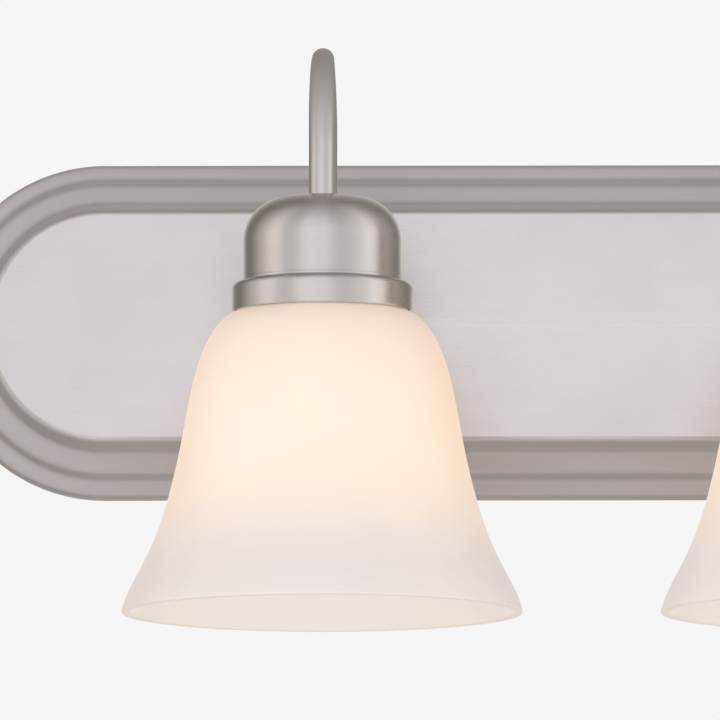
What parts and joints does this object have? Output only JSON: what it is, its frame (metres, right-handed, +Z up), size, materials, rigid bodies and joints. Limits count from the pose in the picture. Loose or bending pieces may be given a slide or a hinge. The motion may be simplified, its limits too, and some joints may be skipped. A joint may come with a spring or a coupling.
{
  "type": "vanity light bar",
  "caption": "Wall light bar with bell glass shades hanging from gooseneck arms on a stepped, pill-shaped brushed backplate.",
  "frame": {"origin": "the middle of the crossbar's back face, on the wall plane, at the backplate's centre", "axes": "+X along the wall and the backplate, +Y into the wall, +Z up; the shades hang down towards -Z and the bar stands out towards -Y"},
  "size_m": [0.657, 0.181, 0.2027],
  "materials": {
    "brushed_nickel": "nickel plate with a fine brushed grain: along the backplate, and round the cups and collars",
    "zinc_steel": "zinc-plated steel, dull",
    "brass": "bare drawn brass",
    "frosted_glass": "white frosted glass, satin outside",
    "lamp_glass": "white-coated lamp glass, lit warm",
    "phenolic": "moulded black phenolic",
    "solder": "dull solder",
    "green_zinc": "green-dyed zinc",
    "black_insulation": "PVC wire insulation",
    "white_insulation": "PVC wire insulation",
    "green_insulation": "PVC wire insulation",
    "orange_plastic": "moulded wire connector"
  },
  "bodies": {
    "fixture": {"backplate": "brushed_nickel", "crossbar": "zinc_steel", "stud_left": "zinc_steel", "stud_right": "zinc_steel", "ground_screw": "green_zinc", "ground_wire": "green_insulation", "hot_connector": "orange_plastic", "neutral_connector": "orange_plastic", "arm_left": "brushed_nickel", "arm_lock_washer_left": "zinc_steel", "arm_lock_nut_left": "zinc_steel", "socket_cup_left": "brushed_nickel", "cup_nut_left": "zinc_steel", "shade_collar_left": "brushed_nickel", "lampholder_left": "phenolic", "screw_shell_left": "brass", "centre_contact_left": "brass", "hot_lead_left": "black_insulation", "neutral_lead_left": "white_insulation", "arm_centre": "brushed_nickel", "arm_lock_washer_centre": "zinc_steel", "arm_lock_nut_centre": "zinc_steel", "socket_cup_centre": "brushed_nickel", "cup_nut_centre": "zinc_steel", "shade_collar_centre": "brushed_nickel", "lampholder_centre": "phenolic", "screw_shell_centre": "brass", "centre_contact_centre": "brass", "hot_lead_centre": "black_insulation", "neutral_lead_centre": "white_insulation", "arm_right": "brushed_nickel", "arm_lock_washer_right": "zinc_steel", "arm_lock_nut_right": "zinc_steel", "socket_cup_right": "brushed_nickel", "cup_nut_right": "zinc_steel", "shade_collar_right": "brushed_nickel", "lampholder_right": "phenolic", "screw_shell_right": "brass", "centre_contact_right": "brass", "hot_lead_right": "black_insulation", "neutral_lead_right": "white_insulation"},
    "shade_left": {"shade_left": "frosted_glass"},
    "shade_ring_left": {"shade_ring_left": "phenolic"},
    "bulb_tip_left": {"bulb_tip_left": "solder"},
    "bulb_left": {"bulb_cap_left": "brass", "bulb_globe_left": "lamp_glass"},
    "shade_centre": {"shade_centre": "frosted_glass"},
    "shade_ring_centre": {"shade_ring_centre": "phenolic"},
    "bulb_tip_centre": {"bulb_tip_centre": "solder"},
    "bulb_centre": {"bulb_cap_centre": "brass", "bulb_globe_centre": "lamp_glass"},
    "shade_right": {"shade_right": "frosted_glass"},
    "shade_ring_right": {"shade_ring_right": "phenolic"},
    "bulb_tip_right": {"bulb_tip_right": "solder"},
    "bulb_right": {"bulb_cap_right": "brass", "bulb_globe_right": "lamp_glass"},
    "cap_washer_left": {"cap_washer_left": "brushed_nickel"},
    "cap_nut_left": {"cap_nut_left": "brushed_nickel"},
    "cap_washer_right": {"cap_washer_right": "brushed_nickel"},
    "cap_nut_right": {"cap_nut_right": "brushed_nickel"}
  },
  "joints": [
    {"name": "shade_drop_left", "type": "slide", "parent": "fixture", "child": "shade_left", "axis": [0, 0, -1], "range_m": [0, 0.00799]},
    {"name": "shade_ring_turn_left", "type": "hinge", "parent": "shade_left", "child": "shade_ring_left", "pos_m": [-0.189, -0.11, 0], "axis": [0, 0, -1], "range_deg": [0, 1150]},
    {"name": "bulb_drop_left", "type": "slide", "parent": "fixture", "child": "bulb_tip_left", "axis": [0, 0, -1], "range_m": [0, 0.01814]},
    {"name": "bulb_turn_left", "type": "hinge", "parent": "bulb_tip_left", "child": "bulb_left", "pos_m": [-0.189, -0.11, 0], "axis": [0, 0, -1], "range_deg": [0, 1800]},
    {"name": "shade_drop_centre", "type": "slide", "parent": "fixture", "child": "shade_centre", "axis": [0, 0, -1], "range_m": [0, 0.00799]},
    {"name": "shade_ring_turn_centre", "type": "hinge", "parent": "shade_centre", "child": "shade_ring_centre", "pos_m": [0, -0.11, 0], "axis": [0, 0, -1], "range_deg": [0, 1150]},
    {"name": "bulb_drop_centre", "type": "slide", "parent": "fixture", "child": "bulb_tip_centre", "axis": [0, 0, -1], "range_m": [0, 0.01814]},
    {"name": "bulb_turn_centre", "type": "hinge", "parent": "bulb_tip_centre", "child": "bulb_centre", "pos_m": [0, -0.11, 0], "axis": [0, 0, -1], "range_deg": [0, 1800]},
    {"name": "shade_drop_right", "type": "slide", "parent": "fixture", "child": "shade_right", "axis": [0, 0, -1], "range_m": [0, 0.00799]},
    {"name": "shade_ring_turn_right", "type": "hinge", "parent": "shade_right", "child": "shade_ring_right", "pos_m": [0.189, -0.11, 0], "axis": [0, 0, -1], "range_deg": [0, 1150]},
    {"name": "bulb_drop_right", "type": "slide", "parent": "fixture", "child": "bulb_tip_right", "axis": [0, 0, -1], "range_m": [0, 0.01814]},
    {"name": "bulb_turn_right", "type": "hinge", "parent": "bulb_tip_right", "child": "bulb_right", "pos_m": [0.189, -0.11, 0], "axis": [0, 0, -1], "range_deg": [0, 1800]},
    {"name": "cap_washer_slide_left", "type": "slide", "parent": "fixture", "child": "cap_washer_left", "axis": [0, -1, 0], "range_m": [0, 0.01111]},
    {"name": "cap_nut_turn_left", "type": "hinge", "parent": "cap_washer_left", "child": "cap_nut_left", "pos_m": [-0.03492, 0, 0], "axis": [0, -1, 0], "range_deg": [0, 5040]},
    {"name": "cap_washer_slide_right", "type": "slide", "parent": "fixture", "child": "cap_washer_right", "axis": [0, -1, 0], "range_m": [0, 0.01111]},
    {"name": "cap_nut_turn_right", "type": "hinge", "parent": "cap_washer_right", "child": "cap_nut_right", "pos_m": [0.03492, 0, 0], "axis": [0, -1, 0], "range_deg": [0, 5040]}
  ],
  "couplings": [
    {"joint": "shade_ring_turn_left", "follows": "shade_drop_left", "rad_per_m": 2513.3},
    {"joint": "bulb_turn_left", "follows": "bulb_drop_left", "rad_per_m": 1731.4},
    {"joint": "shade_ring_turn_centre", "follows": "shade_drop_centre", "rad_per_m": 2513.3},
    {"joint": "bulb_turn_centre", "follows": "bulb_drop_centre", "rad_per_m": 1731.4},
    {"joint": "shade_ring_turn_right", "follows": "shade_drop_right", "rad_per_m": 2513.3},
    {"joint": "bulb_turn_right", "follows": "bulb_drop_right", "rad_per_m": 1731.4},
    {"joint": "cap_nut_turn_left", "follows": "cap_washer_slide_left", "rad_per_m": 7915.8},
    {"joint": "cap_nut_turn_right", "follows": "cap_washer_slide_right", "rad_per_m": 7915.8}
  ]
}
